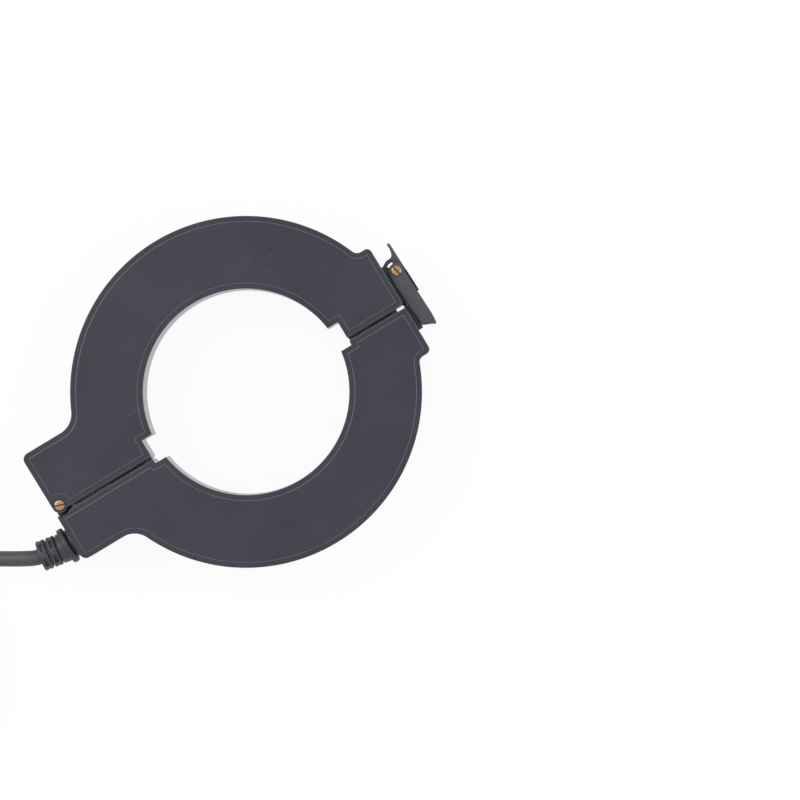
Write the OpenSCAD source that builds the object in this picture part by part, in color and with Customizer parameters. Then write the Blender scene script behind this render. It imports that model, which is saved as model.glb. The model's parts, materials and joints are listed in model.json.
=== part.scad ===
// Split-core current transformer: two hinged ring halves, a snap latch and a moulded lead.
// The bore runs along Z, its centre is the origin, and the back face lies on z = 0.
// X runs along the split from the hinge to the latch, and Y points into the opening half.

/* [Ring] */
// Diameter of the bore that closes round the conductor
bore_d = 110; // [104:0.5:112]
// Outer diameter of the ring
ring_d = 187.5; // [180:0.5:200]
// Thickness from the back face to the front rim
ring_h = 38; // [36:0.5:46]
// Side walls of the moulded case halves
wall_t = 2.5; // [2:0.1:2.8]
// Floor of the moulded case halves
floor_t = 3; // [2:0.1:4]

/* [Split] */
// How far the split lies below the centre of the bore
split_drop = 4.2; // [3.5:0.1:5]
// Open gap between the two halves
split_gap = 2; // [1.4:0.1:2.4]
// Air gap left between the raised seats that carry the core faces
seat_gap = 0.4; // [0.3:0.05:0.6]
// Depth of the relief in the bore at each end of the split
notch_depth = 6; // [4:0.5:7]
// Height of that relief above the centre of the bore
notch_up = 6.6; // [5:0.1:8]
// Height of that relief below the centre of the bore
notch_down = 7.6; // [7:0.1:9]

/* [Lugs] */
// How far the hinge lugs stand out beyond the ring
hinge_reach = 26.4; // [25:0.1:30]
// How far the latch lugs stand out beyond the ring
latch_reach = 2.8; // [2:0.1:6]
// Half height of the lugs across the split
lug_half = 32; // [31:0.5:34]
// Rounding of the outer corners of the hinge lugs
hinge_corner_r = 3.6; // [2.6:0.1:5]
// Rounding of the outer corners of the latch lugs
latch_corner_r = 2.8; // [2.6:0.1:3.6]
// Fillet between the hinge lugs and the ring
hinge_fillet_r = 9.5; // [7:0.5:12]
// Fillet between the latch lugs and the ring
latch_fillet_r = 3; // [2:0.2:4]

/* [Covers] */
// Height of the front covers at their rim
cover_h = 6; // [5:0.5:8]
// Thickness of the covers over the hollow
cover_t = 3; // [2:0.1:4]
// Inset of the raised panel from the outline
panel_inset = 2.7; // [2:0.1:4]
// Height of the raised panel over the rim
panel_rise = 0.4; // [0.2:0.1:1]
// Radius left clear of the panel round the hinge screw
panel_clear_r = 6.1; // [5:0.1:8]
// Height of the lip that locates a cover in its case
lip_h = 1.2; // [0.6:0.1:1.6]
// Thickness of that lip
lip_t = 1.2; // [0.8:0.1:2]

/* [Hinge] */
// Distance of the hinge axis from the outer edge of the lugs
hinge_inset = 3.9; // [3.5:0.1:4.3]
// Height of the hinge axis above the split
hinge_rise = 3.8; // [3.4:0.1:4.2]
// Radius of the hinge knuckles
knuckle_r = 4.1; // [3.9:0.1:4.4]
// Radius of the hollow that a knuckle turns in
hollow_r = 5.9; // [5.6:0.1:6.3]
// Width of the middle knuckle, on the lead side
mid_knuckle_w = 14; // [10:1:18]
// Gap between neighbouring knuckles
knuckle_gap = 0.3; // [0.3:0.05:0.6]

/* [Pivot pins] */
// Outer diameter of the threaded sleeves that both joints turn on
sleeve_d = 4; // [3.6:0.1:4.4]
// Running clearance between a sleeve and the hole that turns on it, per side
run_gap = 0.05; // [0.03:0.01:0.08]
// Diameter of the brass screw heads
head_d = 5.6; // [5:0.1:6]
// Height of the screw heads
head_h = 1.4; // [1:0.1:1.8]
// Width of the screwdriver slot
slot_w = 0.8; // [0.6:0.1:1.2]
// Diameter of the screw shanks
shank_d = 2.5; // [2:0.1:2.8]

/* [Latch] */
// Distance of the latch axis from the face of the latch lugs
pivot_out = 5.5; // [5.4:0.1:6.2]
// Height of the latch axis above the centre of the bore
pivot_up = 14.1; // [13:0.1:15]
// Width across the cheeks of the latch lever
lever_w = 24.4; // [23:0.2:27]
// Thickness of each cheek
cheek_t = 2.1; // [1.6:0.1:2.6]
// Radius of the round end of each cheek
cheek_r = 4.1; // [3.6:0.1:4.4]
// Length of the lever from its axis to the toe
lever_l = 35; // [34:0.1:38]
// Reach of the thumb tab above the axis
tab_l = 15; // [13:0.5:17]
// Width of the thumb tab
tab_w = 12.4; // [10:0.2:13.4]
// Width of the raised pad
pad_w = 14.4; // [13.6:0.2:14.8]
// Thickness of the pad
pad_t = 2; // [1.7:0.1:2.2]
// Thickness of the thumb tab
tab_t = 1.2; // [0.8:0.1:1.6]
// Diameter of the four holes in the thumb tab
tab_hole_d = 1.6; // [1:0.1:2]
// Thickness of the strips that are screwed to the lugs
strip_t = 2.1; // [1.6:0.1:2.2]
// Width of those strips
strip_w = 19.6; // [19:0.1:19.6]
// Thickness of the two ears that carry the latch axis
ear_t = 2; // [1.5:0.1:2]
// Outer radius of the ears round the latch axis
ear_r = 7.5; // [7:0.1:7.8]
// Width of the curved window in each ear
ear_window_w = 1.6; // [1:0.1:1.8]
// Width of the catch tooth on the keeper
tooth_w = 9; // [7:0.5:9.6]
// Height of the catch tooth over the keeper strip
tooth_h = 3.7; // [3:0.1:3.9]

/* [Core and winding] */
// Wall of the winding former
former_t = 1.2; // [0.8:0.1:1.4]
// Build-up of the winding on its former
winding_t = 1.5; // [1:0.1:1.8]
// Width of each saddle that holds the upper core
saddle_w = 4; // [3:0.5:6]

/* [Lead] */
// Diameter of the lead
lead_d = 8.5; // [6:0.1:9]
// How far the lead leaves below the centre of the bore
lead_drop = 20.8; // [19.5:0.1:21.5]
// Diameter of the flange of the strain relief
relief_d = 19.4; // [18:0.1:20]
// Length of the strain relief outside the case
relief_l = 20.4; // [17:0.2:24]
// Diameter of the ribs of the strain relief
relief_rib_d = 15.4; // [13.6:0.2:16]

/* [Hidden] */

round_fn = 96;
small_fn = 40;
eps = 0.01;
// Clearance of pieces that are slipped together, and of those that are only laid in
fit_gap = 0.1;
lay_gap = 0.3;

bore_r = bore_d / 2;
ring_r = ring_d / 2;
hinge_face = ring_r + hinge_reach;
latch_face = ring_r + latch_reach;
case_h = ring_h - cover_h;
mid_z = ring_h / 2;
split_y = -split_drop;
notch_r = bore_r + notch_depth;

hinge_x = hinge_inset - hinge_face;
hinge_y = split_y + hinge_rise;
knuckle_z0 = mid_z - mid_knuckle_w / 2;
knuckle_z1 = mid_z + mid_knuckle_w / 2;
sleeve_r = sleeve_d / 2;
sleeve_hole_r = sleeve_r + run_gap;
head_r = head_d / 2;
head_recess_r = head_r + 0.35;
back_recess = head_h + 0.2;
front_recess = 0.8;

pivot_x = latch_face + pivot_out;
pivot_y = pivot_up;
cheek_in = lever_w / 2 - cheek_t;
ear_out = cheek_in - 0.35;
ear_in = ear_out - ear_t;

// The wound core fills the hollow up to the cover's lip and stays clear of the relief's walls
core_z1 = case_h - lip_h - fit_gap - winding_t - former_t;
core_z0 = ring_h - core_z1;
wound_ri = norm([notch_r + wall_t + fit_gap, notch_down + wall_t + fit_gap]);
core_ri = wound_ri + winding_t + former_t;
core_ro = ring_r - wall_t - lay_gap - winding_t - former_t;
seat_x0 = notch_r + 0.5;
seat_x1 = ring_r - wall_t;
hinge_seat_x1 = hinge_face - hinge_inset - hollow_r - wall_t;

lead_r = lead_d / 2;
relief_r = relief_d / 2;
rib_r = relief_rib_d / 2;
relief_tilt = 10;

// ---- Outline of the ring with its lugs, drawn at an inset d from the outer faces ----

function fillet_centre(half, r) = [sqrt(pow(ring_r + r, 2) - pow(half + r, 2)), half + r];

module lug2d(reach, corner_r, d) {
    r = max(corner_r - d, 0.1);
    half = lug_half - d;
    translate([0, -half]) square([reach - d - r, 2 * half]);
    translate([0, r - half]) square([reach - d, 2 * (half - r)]);
    for (s = [-1, 1]) translate([reach - d - r, s * (half - r)]) circle(r, $fn = small_fn);
}

// Web between a lug's straight edge and the ring, hollowed by the fillet's own circle
module fillet2d(r, d) {
    c = fillet_centre(lug_half, r);
    inner = (ring_r - d - 1) / (ring_r + r);
    edge_x = sqrt(pow(ring_r, 2) - pow(lug_half, 2));
    difference() {
        polygon([[c.x, lug_half - d - 1], c, c * inner, [edge_x - 3, lug_half - d - 3]]);
        translate(c) circle(r + d, $fn = round_fn);
    }
}

module outline2d(d) {
    difference() {
        union() {
            circle(ring_r - d, $fn = round_fn);
            lug2d(latch_face, latch_corner_r, d);
            mirror([1, 0]) lug2d(hinge_face, hinge_corner_r, d);
            for (m = [0, 1]) mirror([0, m]) {
                fillet2d(latch_fillet_r, d);
                mirror([1, 0]) fillet2d(hinge_fillet_r, d);
            }
        }
        circle(bore_r + d, $fn = round_fn);
        translate([-notch_r - d, -notch_down - d])
            square([2 * (notch_r + d), notch_up + notch_down + 2 * d]);
    }
}

// One half of the outline: side is 1 for the opening half and -1 for the half with the lead
module half2d(side, d) {
    cut = split_gap / 2 + d;
    reach = hinge_face + latch_face;
    difference() {
        intersection() {
            outline2d(d);
            translate([-reach, side > 0 ? split_y + cut : split_y - cut - reach]) square([2 * reach, reach]);
        }
        // The corner of the opening half is rounded off with its knuckle
        if (side > 0) translate([hinge_x, hinge_y]) difference() {
            translate([-2 * hollow_r, -2 * hollow_r]) square(2 * hollow_r);
            circle(knuckle_r - d, $fn = round_fn);
        }
    }
}

module at_hinge() translate([hinge_x, hinge_y, 0]) children();

module slab(side, d, z0, z1) translate([0, 0, z0]) linear_extrude(z1 - z0) half2d(side, d);

// ---- Case halves ----

// Ring-shaped bar between two radii and two heights
module ring_bar(r0, r1, z0, z1) {
    translate([0, 0, z0]) difference() {
        cylinder(r = r1, h = z1 - z0, $fn = round_fn);
        translate([0, 0, -1]) cylinder(r = r0, h = z1 - z0 + 2, $fn = round_fn);
    }
}

// Raised seats round the core faces, standing out of a half's split walls
module seats(side) {
    y_face = split_y + side * seat_gap / 2;
    y_wall = split_y + side * (split_gap / 2 + 1);
    y0 = min(y_face, y_wall);
    depth = abs(y_wall - y_face);
    z0 = floor_t + 1;
    translate([seat_x0, y0, z0]) cube([seat_x1 - seat_x0, depth, case_h - z0]);
    translate([-hinge_seat_x1, y0, z0]) cube([hinge_seat_x1 - seat_x0, depth, case_h - z0]);
}

// Hollow of a half, with the hinge left solid
module hollow(side, z1) {
    difference() {
        slab(side, wall_t, floor_t, z1);
        at_hinge() cylinder(r = hollow_r + wall_t, h = ring_h, $fn = round_fn);
        translate([latch_face - 2 * wall_t, side > 0 ? 0 : -lug_half, 0])
            cube([3 * wall_t, lug_half, ring_h]);
    }
}

// Windows in the split walls through which the core reaches the split
module core_windows(side) {
    intersection() {
        ring_bar(core_ri - fit_gap, core_ro + fit_gap, core_z0 - fit_gap, core_z1 + fit_gap);
        translate([-ring_r, side > 0 ? split_y : split_y - 8, 0]) cube([2 * ring_r, 8, ring_h]);
    }
}

module upper_case() color("#3b3d42") {
    difference() {
        union() {
            slab(1, 0, 0, case_h);
            at_hinge() cylinder(r = knuckle_r, h = case_h, $fn = round_fn);
            seats(1);
        }
        hollow(1, case_h + 1);
        core_windows(1);
        at_hinge() {
            translate([0, 0, knuckle_z0 - knuckle_gap])
                cylinder(r = hollow_r, h = mid_knuckle_w + 2 * knuckle_gap, $fn = round_fn);
            translate([0, 0, -1]) cylinder(r = sleeve_hole_r, h = ring_h, $fn = small_fn);
            translate([0, 0, -1]) cylinder(r = head_recess_r, h = back_recess + 1, $fn = small_fn);
        }
        bracket_screw_places() cylinder(r = screw_core_r + fit_gap / 2, h = 3 * wall_t, $fn = small_fn);
    }
}

module lower_case() color("#3b3d42") {
    arm_x0 = -hinge_face;
    difference() {
        union() {
            difference() {
                union() {
                    slab(-1, 0, 0, case_h);
                    seats(-1);
                }
                at_hinge() translate([0, 0, -1]) cylinder(r = hollow_r, h = ring_h + 2, $fn = round_fn);
            }
            at_hinge() translate([0, 0, knuckle_z0]) cylinder(r = knuckle_r, h = mid_knuckle_w, $fn = round_fn);
            translate([arm_x0, split_y - hollow_r - 1, knuckle_z0])
                cube([hinge_inset + knuckle_r, hinge_y - split_y + hollow_r + 1, mid_knuckle_w]);
        }
        hollow(-1, case_h + 1);
        core_windows(-1);
        at_hinge() translate([0, 0, -1]) cylinder(r = sleeve_hole_r, h = ring_h, $fn = small_fn);
        at_relief() translate([0, 0, -wall_t - 1])
            cylinder(r = relief_neck_r + fit_gap, h = wall_t + 2, $fn = small_fn);
        keeper_screw_places() cylinder(r = screw_core_r + fit_gap / 2, h = 3 * wall_t, $fn = small_fn);
    }
    board_posts();
}

// ---- Front covers ----

module cover(side) {
    difference() {
        union() {
            slab(side, 0, case_h, ring_h);
            slab(side, wall_t + fit_gap, case_h - lip_h, case_h + 1);
            slab(side, panel_inset, ring_h - 1, ring_h + panel_rise);
            if (side > 0) at_hinge() translate([0, 0, case_h])
                cylinder(r = knuckle_r, h = ring_h - case_h, $fn = round_fn);
        }
        slab(side, wall_t + fit_gap + lip_t, case_h - lip_h - 1, ring_h - cover_t);
        // The panel stops short of the hinge screw
        at_hinge() translate([0, 0, ring_h]) cylinder(r = panel_clear_r, h = 1 + panel_rise, $fn = round_fn);
        // The lip stops short of the solid round the hinge and of the screwed latch wall
        at_hinge() translate([0, 0, case_h - lip_h - 1])
            cylinder(r = hollow_r + wall_t + fit_gap, h = lip_h + 1, $fn = round_fn);
        translate([latch_face - 2 * wall_t - fit_gap, -lug_half, case_h - lip_h - 1])
            cube([3 * wall_t, 2 * lug_half, lip_h + 1]);
        if (side > 0) at_hinge() {
            translate([0, 0, case_h - 1]) cylinder(r = sleeve_hole_r, h = cover_h + 2, $fn = small_fn);
            translate([0, 0, ring_h - front_recess]) cylinder(r = head_recess_r, h = 2, $fn = small_fn);
        }
        if (side < 0) at_hinge() translate([0, 0, case_h - lip_h - 1])
            cylinder(r = hollow_r, h = cover_h + lip_h + 2, $fn = round_fn);
    }
}

module upper_cover() color("#3a3c41") cover(1);

module lower_cover() color("#3a3c41") cover(-1);

// ---- Core, winding and what holds them ----

// Everything beyond a plane across the split, on one side of it
module beyond(side, y) intersection() {
    children();
    translate([-hinge_face, side > 0 ? y : y - ring_d, -1]) cube([2 * hinge_face, ring_d, ring_h + 4]);
}

module lower_core() color("#6d6f73")
    beyond(-1, split_y - seat_gap / 2) ring_bar(core_ri, core_ro, core_z0, core_z1);

module upper_core() color("#6d6f73")
    beyond(1, split_y + seat_gap / 2) ring_bar(core_ri, core_ro, core_z0, core_z1);

flange_t = 2;
flange_y = split_y - split_gap / 2 - wall_t - fit_gap;
former_top = case_h - lip_h - fit_gap;
former_ri = core_ri - former_t;
former_ro = core_ro + former_t;

// Former of two end flanges and a square tube that follows the core
module winding_former() color("#d9d4c4") difference() {
    beyond(-1, flange_y) union() {
        ring_bar(former_ri, former_ro, core_z0 - former_t, core_z1 + former_t);
        intersection() {
            ring_bar(notch_r, ring_r - wall_t - lay_gap, floor_t, former_top);
            translate([-ring_r, flange_y - flange_t, 0]) cube([ring_d, flange_t, ring_h]);
            union() for (s = [-1, 1]) translate([s * ring_r, flange_y, mid_z])
                cube([2 * (ring_r - notch_r - wall_t - lay_gap), 4 * flange_t, 2 * ring_h], center = true);
        }
    }
    ring_bar(core_ri - fit_gap, core_ro + fit_gap, core_z0 - fit_gap, core_z1 + fit_gap);
}

module winding() color("#a4582c") difference() {
    beyond(-1, flange_y - flange_t)
        ring_bar(former_ri - winding_t, former_ro + winding_t,
                 core_z0 - former_t - winding_t, core_z1 + former_t + winding_t);
    ring_bar(former_ri - fit_gap / 2, former_ro + fit_gap / 2,
             core_z0 - former_t - fit_gap / 2, core_z1 + former_t + fit_gap / 2);
}

// Saddles on a curved rail that carry the upper core
module core_cradle() color("#2c2d30") {
    rail_r = (core_ri + core_ro) / 2;
    r0 = bore_r + wall_t + lay_gap;
    r1 = ring_r - wall_t - lay_gap;
    jaws = [[r0, core_ri - 2 * fit_gap], [core_ro + fit_gap, r1]];
    first_a = 22;
    rotate(first_a) rotate_extrude(angle = 180 - 2 * first_a, $fn = round_fn)
        translate([rail_r - 5, floor_t]) square([10, 2]);
    for (k = [0:4]) rotate(first_a + k * (90 - first_a) / 2) translate([0, -saddle_w / 2, floor_t]) {
        translate([r0, 0, 0]) cube([r1 - r0, saddle_w, core_z0 - floor_t]);
        for (j = jaws) translate([j[0], 0, 0]) cube([j[1] - j[0], saddle_w, core_z1 - floor_t]);
    }
}

// ---- Terminal board in the hinge lug ----

board_x = -hinge_face + wall_t + 3;
board_w = 18;
board_y = -lug_half + wall_t + 1.5;
board_h = 17;
board_z = floor_t + 5;
board_t = 1.6;
post_r = 2;
peg_r = 1;

module board_post_places()
    for (x = [3, board_w - 3], y = [3, board_h - 3]) translate([board_x + x, board_y + y, 0]) children();

module board_posts() board_post_places() {
    translate([0, 0, floor_t - eps]) cylinder(r = post_r, h = board_z - floor_t + eps, $fn = small_fn);
    translate([0, 0, floor_t]) cylinder(r = peg_r, h = board_z + board_t + 0.6 - floor_t, $fn = small_fn);
}

module terminal_board() color("#2f5d3a") difference() {
    translate([board_x, board_y, board_z]) cube([board_w, board_h, board_t]);
    board_post_places() translate([0, 0, board_z - 1]) cylinder(r = peg_r + 0.05, h = board_t + 2, $fn = small_fn);
}

resistor_r = 1.8;
resistor_l = 8;
resistor_x = board_x + board_w - 7;
resistor_y = board_y + board_h / 2;
resistor_z = board_z + board_t + resistor_r;

// Wire-ended resistor that lies on the board, its leads bent down to the pads
module burden_resistor() color("#7d8fa3") {
    leg_r = 0.35;
    lead_out = resistor_l / 2 + 1.4;
    translate([resistor_x, resistor_y, resistor_z]) {
        rotate([90, 0, 0]) cylinder(r = resistor_r, h = resistor_l, center = true, $fn = small_fn);
        rotate([90, 0, 0]) cylinder(r = leg_r, h = 2 * lead_out, center = true, $fn = 16);
        for (s = [-1, 1]) translate([0, s * (lead_out - leg_r), -resistor_r])
            cylinder(r = leg_r, h = resistor_r + leg_r, $fn = 16);
    }
}

// ---- Tubes swept along a list of points ----

function unit(v) = v / norm(v);
function path_dir(p, i) = unit(p[min(i + 1, len(p) - 1)] - p[max(i - 1, 0)]);
// Two directions square to a tangent, the first of them level
function level(t) = unit(cross([0, 0, 1], t));
function ring_points(c, t, r, n) = let (u = level(t), v = cross(t, u))
    [for (k = [0:n - 1]) c + r * (cos(360 * k / n) * u + sin(360 * k / n) * v)];

// Polyhedron tube along the points p with n sides
module tube(p, r, n) {
    m = len(p);
    pts = [for (i = [0:m - 1]) each ring_points(p[i], path_dir(p, i), r, n)];
    sides = [for (i = [0:m - 2], k = [0:n - 1])
        [i * n + k, i * n + (k + 1) % n, (i + 1) * n + (k + 1) % n, (i + 1) * n + k]];
    caps = [[for (k = [n - 1:-1:0]) k], [for (k = [0:n - 1]) (m - 1) * n + k]];
    polyhedron(pts, concat([for (f = sides) [f[3], f[2], f[1], f[0]]], [for (f = caps) [for (k = [n - 1:-1:0]) f[k]]]));
}

// Points of a smooth curve from a to b that leaves along ta and arrives along tb
function bend(a, ta, b, tb, n) = [for (i = [0:n]) let (s = i / n, q = 1 - s)
    q * q * q * a + 3 * q * q * s * (a + ta) + 3 * q * s * s * (b - tb) + s * s * s * b];

wire_r = 0.6;

// Two wires from the winding and two from the lead, all ending on the board
module hookup_wires() color("#b03a2e") {
    top = board_z + board_t;
    wind_r = former_ro + winding_t;
    lead_x = -hinge_face + wall_t + relief_inner_t + 0.05;
    for (k = [0, 1]) {
        a = 194 + 4 * k;
        out = [cos(a), sin(a), 0];
        pad = [board_x + board_w - 2, board_y + 11 - 5 * k, top + 0.05];
        tube(bend([0, 0, mid_z] + (wind_r + 0.05) * out, 5 * out, pad, [0, 0, -6], 14), wire_r, 6);
        core_end = [lead_x, -lead_drop + (k == 0 ? -1.5 : 1.5), mid_z];
        lead_pad = [board_x + 6.5, board_y + 6 + 5 * k, top + 0.05];
        tube(bend(core_end, [4, 0, 0], lead_pad, [0, 0, -6], 14), wire_r, 6);
    }
}

// ---- Pivot pins: a headed sleeve from the back and a slotted screw from the front ----

// Sleeve whose head lies below z0 and whose barrel ends at z1
module sleeve(z0, z1, hole_z) difference() {
    union() {
        translate([0, 0, z0 - head_h]) cylinder(r = head_r, h = head_h, $fn = small_fn);
        translate([0, 0, z0 - eps]) cylinder(r = sleeve_r, h = z1 - z0 + eps, $fn = small_fn);
    }
    translate([0, 0, hole_z]) cylinder(r = shank_d / 2 + fit_gap / 2, h = z1 - hole_z + 1, $fn = small_fn);
    translate([-head_r - 1, -slot_w / 2, z0 - head_h - 1]) cube([2 * head_r + 2, slot_w, 1 + head_h / 2]);
}

// Slotted screw whose head sits on z and whose shank reaches down by depth
module slotted_screw(z, depth, turn) rotate(turn) difference() {
    union() {
        translate([0, 0, z]) cylinder(r = head_r, h = head_h - 0.3, $fn = small_fn);
        translate([0, 0, z + head_h - 0.3]) cylinder(r1 = head_r, r2 = head_r - 0.3, h = 0.3, $fn = small_fn);
        translate([0, 0, z - depth]) cylinder(r = shank_d / 2, h = depth + eps, $fn = small_fn);
    }
    translate([-head_r - 1, -slot_w / 2, z + head_h / 2]) cube([2 * head_r + 2, slot_w, head_h]);
}

hinge_seat_z = ring_h - front_recess;
// How the screwdriver slots happen to stand
hinge_slot_turn = -12;
latch_slot_turn = -77;

module hinge_sleeve() color("#b08d4c") at_hinge() sleeve(back_recess, hinge_seat_z - 0.2, hinge_seat_z - 12);

module hinge_screw() color("#b8954f") at_hinge() slotted_screw(hinge_seat_z, 10, hinge_slot_turn);

// ---- Latch ----

// The latch is drawn with u towards the lead half and v away from the lugs, about its own axis.
// Its width runs along Z and is counted from the middle of the ring.
module at_latch() translate([pivot_x, pivot_y, mid_z]) children();

// Side profile given as [u, v] points, carried across the width from w0 to w1
module across(points, w0, w1) translate([0, 0, w0]) linear_extrude(w1 - w0) polygon([for (p = points) [p[1], -p[0]]]);

module uv_box(u0, u1, v0, v1, w0, w1) translate([v0, -u1, w0]) cube([v1 - v0, u1 - u0, w1 - w0]);

strip_v0 = -pivot_out;
strip_v1 = strip_v0 + strip_t;
bracket_u0 = -5.6;
bracket_u1 = 16.1;
keeper_u0 = pivot_up + split_drop + split_gap / 2 + 0.2;
tooth_u = lever_l - 3.6;
keeper_u1 = tooth_u + 1.8;
pad_out = 4.6;
// Turn of the pad and the thumb tab about the axis, seen from the front
pad_lean = 1.5;
hub_r = 3;
pad_u1 = 14.8;
web_u0 = ear_r + 2.1;
screw_core_r = 1.25;
screw_head_r = 2.3;
screw_in = 2 * wall_t - 0.4;

// Screw places on the latch faces, each with Z pointing into its lug from the strip's outer face
module bracket_screw_places() at_latch() for (w = [-4, 4])
    translate([strip_v1, -10, w]) rotate([0, -90, 0]) children();

module keeper_screw_places() at_latch() for (w = [-1, 1])
    translate([strip_v1, -(keeper_u0 + 4), w * (tooth_w / 2 + screw_head_r + 0.2)])
        rotate([0, -90, 0]) children();

module countersunk_hole() {
    translate([0, 0, -1]) cylinder(r = screw_core_r + 0.15, h = strip_t + 2, $fn = small_fn);
    translate([0, 0, -eps]) cylinder(r1 = screw_head_r + 0.05, r2 = screw_core_r + 0.15, h = 1.1, $fn = small_fn);
}

// Flat-headed screw with its head let into a strip
module countersunk_screw() difference() {
    union() {
        cylinder(r1 = screw_head_r, r2 = screw_core_r, h = 1.05, $fn = small_fn);
        cylinder(r = screw_core_r, h = strip_t + screw_in, $fn = small_fn);
    }
    for (a = [0, 90]) rotate(a) translate([-1.4, -0.3, -1]) cube([2.8, 0.6, 1.5]);
}

module latch_bracket() color("#34363b") difference() {
    at_latch() {
        uv_box(bracket_u0, bracket_u1, strip_v0, strip_v1, -strip_w / 2, strip_w / 2);
        for (m = [0, 1]) mirror([0, 0, m]) translate([0, 0, ear_in]) intersection() {
            union() {
                cylinder(r = ear_r, h = ear_t, $fn = round_fn);
                across([[bracket_u0, strip_v0], [bracket_u0, 0], [ear_r, 0], [ear_r + 4, strip_v0]], 0, ear_t);
            }
            uv_box(-2 * ear_r, 2 * ear_r, strip_v0, 2, 0, ear_t);
        }
    }
    at_latch() translate([0, 0, -lever_w]) {
        cylinder(r = sleeve_hole_r, h = 2 * lever_w, $fn = small_fn);
        rotate(84) rotate_extrude(angle = 43, $fn = round_fn)
            translate([ear_r - 1.7 - ear_window_w, 0]) square([ear_window_w, 2 * lever_w]);
    }
    bracket_screw_places() countersunk_hole();
}

module bracket_screws() color("#8d9096") bracket_screw_places() countersunk_screw();

tooth_v = strip_v1 + tooth_h;

module keeper() color("#34363b") difference() {
    at_latch() {
        uv_box(keeper_u0, keeper_u1, strip_v0, strip_v1, -strip_w / 2, strip_w / 2);
        across([[tooth_u, strip_v0], [tooth_u, tooth_v], [tooth_u - 1, tooth_v], [tooth_u - 6, strip_v1 - eps],
                [tooth_u - 6, strip_v0]], -tooth_w / 2, tooth_w / 2);
    }
    keeper_screw_places() countersunk_hole();
}

module keeper_screws() color("#8d9096") keeper_screw_places() countersunk_screw();

// Side profile of a cheek, from the round end at the axis to the slanted toe
cheek_profile = [
    [0, -cheek_r], [7, -4.5], [12, -4.1], [17.5, -3.9], [lever_l - 6, -3], [lever_l - 3.6, -3.5],
    [lever_l - 1.1, 1.9], [lever_l, 3.6], [lever_l - 0.6, 4.1], [lever_l - 2.5, 4.3], [lever_l - 6, 4.5],
    [lever_l - 11.5, 4.3], [pad_u1 + 1, 4.1], [pad_u1, 3.9], [0, 3.6]
];
toe_u0 = lever_l - 9;
toe_slot_u = lever_l - 5.3;
toe_slot_w = 3;
toe_slot_l = 14;
toe_corner_r = 5;
catch_v = tooth_v + 0.3;

// Front outline of the lever as a frame in [w, u]: cheeks, open middle and the rounded toe
module lever_frame2d() {
    w = lever_w / 2;
    difference() {
        union() {
            translate([-w, -lever_l + toe_corner_r]) square([2 * w, lever_l - toe_corner_r + cheek_r]);
            translate([-w + toe_corner_r, -lever_l]) square([2 * (w - toe_corner_r), lever_l]);
            for (s = [-1, 1]) translate([s * (w - toe_corner_r), -lever_l + toe_corner_r])
                circle(toe_corner_r, $fn = small_fn);
        }
        translate([-cheek_in, -toe_u0]) square([2 * cheek_in, toe_u0 + 2 * cheek_r]);
        // Oblong slot in the toe
        half = (toe_slot_l - toe_slot_w) / 2;
        for (s = [-1, 1]) translate([s * half, -toe_slot_u]) circle(toe_slot_w / 2, $fn = small_fn);
        translate([-half, -toe_slot_u - toe_slot_w / 2]) square([2 * half, toe_slot_w]);
    }
}

// Tab and pad in one plate, narrower at the thumb end, in [w, u]
module pad2d() {
    r = 1.5;
    translate([-tab_w / 2, 2]) square([tab_w, tab_l - 2 - r]);
    translate([-tab_w / 2 + r, 2]) square([tab_w - 2 * r, tab_l - 2]);
    for (s = [-1, 1]) {
        translate([s * (tab_w / 2 - r), tab_l - r]) circle(r, $fn = small_fn);
        translate([s * (pad_w / 2 - r), -pad_u1 + r]) circle(r, $fn = small_fn);
    }
    polygon([[-tab_w / 2, 4], [-pad_w / 2, 2], [-pad_w / 2, -pad_u1 + r], [pad_w / 2, -pad_u1 + r],
             [pad_w / 2, 2], [tab_w / 2, 4]]);
    translate([-pad_w / 2 + r, -pad_u1]) square([pad_w - 2 * r, pad_u1]);
}

// Stands a front outline up in the latch's own frame so that it reaches from v0 to v1
module front(v0, v1) rotate([0, -90, 0]) translate([0, 0, -v1]) linear_extrude(v1 - v0) children();

module lever_solid() {
    w = lever_w / 2;
    difference() {
        intersection() {
            union() {
                across(cheek_profile, -w, w);
                translate([0, 0, -w]) cylinder(r = cheek_r, h = lever_w, $fn = round_fn);
            }
            front(-2 * cheek_r, 2 * pad_out) lever_frame2d();
        }
        // The toe is a plate between the cheeks, with the catch rib left standing below its slot
        uv_box(toe_u0 - 1, tooth_u + 0.4, -10, 2, -cheek_in, cheek_in);
        uv_box(toe_u0 - 1, lever_l + 1, -10, catch_v, -cheek_in, cheek_in);
    }
    // Thumb tab and pad with their hub
    rotate(pad_lean) difference() {
        front(pad_out - pad_t, pad_out) pad2d();
        uv_box(-tab_l - 1, -hub_r - 1, 0, pad_out - tab_t, -tab_w, tab_w);
        for (u = [-tab_l + 3, -tab_l + 7], w = [-tab_w / 4, tab_w / 4]) translate([0, -u, w]) rotate([0, 90, 0])
            cylinder(d = tab_hole_d, h = 10, $fn = small_fn);
    }
    hub_w = ear_in - 0.3;
    translate([0, 0, -hub_w]) cylinder(r = hub_r, h = 2 * hub_w, $fn = round_fn);
    uv_box(-hub_r, hub_r, 0, pad_out - pad_t / 2, -5, 5);
    // Web that ties the pad to both cheeks below the ears
    uv_box(web_u0, pad_u1, -2.4, -0.6, -cheek_in - eps, cheek_in + eps);
    for (w = [-5, 3]) uv_box(web_u0, pad_u1 - 1, -1, pad_out - pad_t / 2, w, w + 2);
}

module latch_lever() color("#2e3035") at_latch() difference() {
    lever_solid();
    translate([0, 0, -lever_w]) cylinder(r = sleeve_hole_r, h = 2 * lever_w, $fn = small_fn);
    translate([0, 0, lever_w / 2 - latch_recess]) cylinder(r = head_recess_r, h = 2, $fn = small_fn);
}

latch_recess = 0.4;
latch_seat_z = lever_w / 2 - latch_recess;

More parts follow.
